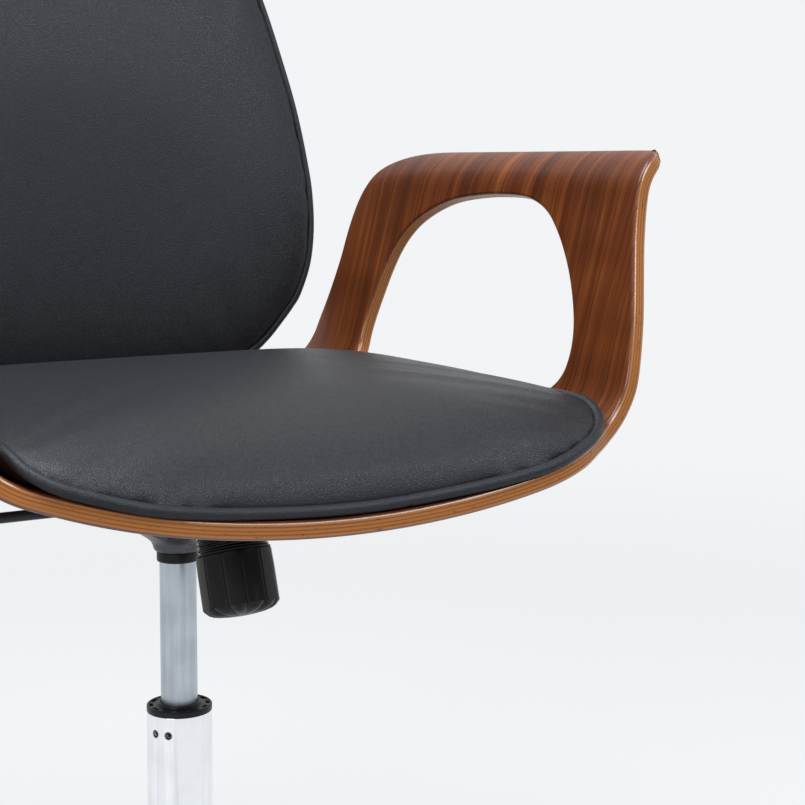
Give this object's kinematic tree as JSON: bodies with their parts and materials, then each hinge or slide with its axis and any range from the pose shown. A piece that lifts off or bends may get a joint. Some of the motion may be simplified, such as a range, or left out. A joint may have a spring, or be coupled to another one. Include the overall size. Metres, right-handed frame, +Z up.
{
  "type": "office chair",
  "caption": "Office chair with a bent walnut plywood seat and arms, padded black seat and back, tilt mechanism, gas lift and a star base on castors.",
  "frame": {"origin": "middle of the bounding box at the floor", "axes": "+Z up, +Y to the rear of the chair, so the sitter faces -Y and +X is the sitter's left"},
  "size_m": [0.616, 0.6221, 1.043],
  "materials": {
    "walnut_ply": "satin",
    "pad_black": "satin",
    "piping_black": "satin",
    "base_chrome": "polished",
    "column_chrome": "polished",
    "cylinder_steel": "satin",
    "steel_bright": "satin",
    "steel_black": "satin",
    "spring_black": "satin",
    "plastic_black": "satin",
    "wheel_black": "matte"
  },
  "bodies": {
    "base": {"star_base": "base_chrome", "outer_column": "column_chrome", "column_collar": "plastic_black", "guide_sleeve": "plastic_black", "thrust_bearing": "steel_bright"},
    "piston": {"piston_rod": "steel_bright", "retaining_clip": "steel_black"},
    "lift": {"gas_cylinder": "cylinder_steel", "taper_bush": "plastic_black", "taper_socket": "steel_black", "mechanism_housing": "steel_black", "pivot_shaft": "steel_bright", "tension_spring": "spring_black"},
    "valve": {"valve_pin": "steel_bright"},
    "lever": {"lever_rod": "steel_black", "lever_grip": "plastic_black"},
    "seat": {"seat_plate": "steel_black", "tension_bolt": "steel_bright", "seat_shell": "walnut_ply", "seat_cushion": "pad_black", "seat_piping": "piping_black", "seat_screw_1": "steel_bright", "seat_screw_2": "steel_bright", "seat_screw_3": "steel_bright", "seat_screw_4": "steel_bright", "back_bracket": "steel_black", "bracket_screw_1": "steel_bright", "bracket_screw_2": "steel_bright", "back_screw_1": "steel_bright", "back_screw_2": "steel_bright", "back_shell": "walnut_ply", "back_cushion": "pad_black", "back_piping": "piping_black"},
    "follower": {"tension_washer": "plastic_black"},
    "knob": {"tension_knob": "plastic_black"},
    "castor_1": {"castor_1_stem": "steel_bright", "castor_1_hood": "plastic_black", "castor_1_axle": "steel_bright"},
    "wheels_1": {"castor_1_wheel_left": "wheel_black", "castor_1_wheel_right": "wheel_black"},
    "castor_2": {"castor_2_stem": "steel_bright", "castor_2_hood": "plastic_black", "castor_2_axle": "steel_bright"},
    "wheels_2": {"castor_2_wheel_left": "wheel_black", "castor_2_wheel_right": "wheel_black"},
    "castor_3": {"castor_3_stem": "steel_bright", "castor_3_hood": "plastic_black", "castor_3_axle": "steel_bright"},
    "wheels_3": {"castor_3_wheel_left": "wheel_black", "castor_3_wheel_right": "wheel_black"},
    "castor_4": {"castor_4_stem": "steel_bright", "castor_4_hood": "plastic_black", "castor_4_axle": "steel_bright"},
    "wheels_4": {"castor_4_wheel_left": "wheel_black", "castor_4_wheel_right": "wheel_black"},
    "castor_5": {"castor_5_stem": "steel_bright", "castor_5_hood": "plastic_black", "castor_5_axle": "steel_bright"},
    "wheels_5": {"castor_5_wheel_left": "wheel_black", "castor_5_wheel_right": "wheel_black"}
  },
  "joints": [
    {"name": "seat_swivel", "type": "hinge", "parent": "base", "child": "piston", "pos_m": [0, -0.027, 0.1], "axis": [0, 0, 1], "continuous": true},
    {"name": "gas_lift", "type": "slide", "parent": "piston", "child": "lift", "axis": [0, 0, 1], "range_m": [-0.1, 0]},
    {"name": "seat_tilt", "type": "hinge", "parent": "lift", "child": "seat", "pos_m": [0, -0.072, 0.45], "axis": [-1, 0, 0], "range_deg": [0, 12], "stiffness_Nm_per_rad": 150, "springref_deg": -20.05, "deforming": ["tension_spring"]},
    {"name": "lever_lift", "type": "hinge", "parent": "lift", "child": "lever", "pos_m": [-0.0372, -0.027, 0.456], "axis": [0, 1, 0], "range_deg": [0, 5], "stiffness_Nm_per_rad": 0.3, "springref_deg": -11.46},
    {"name": "valve_press", "type": "slide", "parent": "lift", "child": "valve", "axis": [0, 0, -1], "range_m": [0, 0.0035]},
    {"name": "tension_turn", "type": "hinge", "parent": "seat", "child": "knob", "pos_m": [0, -0.123, 0.433], "axis": [0, 0.3256, 0.9455], "range_deg": [0, 1080]},
    {"name": "tension_travel", "type": "slide", "parent": "knob", "child": "follower", "axis": [0, 0.3256, 0.9455], "range_m": [0, 0.004], "deforming": ["tension_spring"]},
    {"name": "castor_1_swivel", "type": "hinge", "parent": "base", "child": "castor_1", "pos_m": [0, 0.248, 0.07], "axis": [0, 0, 1], "continuous": true},
    {"name": "castor_1_roll", "type": "hinge", "parent": "castor_1", "child": "wheels_1", "pos_m": [0, 0.267, 0.025], "axis": [1, 0, 0], "continuous": true},
    {"name": "castor_2_swivel", "type": "hinge", "parent": "base", "child": "castor_2", "pos_m": [-0.26154, 0.05798, 0.07], "axis": [0, 0, 1], "continuous": true},
    {"name": "castor_2_roll", "type": "hinge", "parent": "castor_2", "child": "wheels_2", "pos_m": [-0.26154, 0.07698, 0.025], "axis": [1, 0, 0], "continuous": true},
    {"name": "castor_3_swivel", "type": "hinge", "parent": "base", "child": "castor_3", "pos_m": [-0.16164, -0.24948, 0.07], "axis": [0, 0, 1], "continuous": true},
    {"name": "castor_3_roll", "type": "hinge", "parent": "castor_3", "child": "wheels_3", "pos_m": [-0.16164, -0.23048, 0.025], "axis": [1, 0, 0], "continuous": true},
    {"name": "castor_4_swivel", "type": "hinge", "parent": "base", "child": "castor_4", "pos_m": [0.16164, -0.24948, 0.07], "axis": [0, 0, 1], "continuous": true},
    {"name": "castor_4_roll", "type": "hinge", "parent": "castor_4", "child": "wheels_4", "pos_m": [0.16164, -0.23048, 0.025], "axis": [1, 0, 0], "continuous": true},
    {"name": "castor_5_swivel", "type": "hinge", "parent": "base", "child": "castor_5", "pos_m": [0.26154, 0.05798, 0.07], "axis": [0, 0, 1], "continuous": true},
    {"name": "castor_5_roll", "type": "hinge", "parent": "castor_5", "child": "wheels_5", "pos_m": [0.26154, 0.07698, 0.025], "axis": [1, 0, 0], "continuous": true}
  ],
  "couplings": [
    {"joint": "valve_press", "follows": "lever_lift", "m_per_rad": 0.0372},
    {"joint": "tension_travel", "follows": "tension_turn", "m_per_rad": 0.00019894}
  ]
}
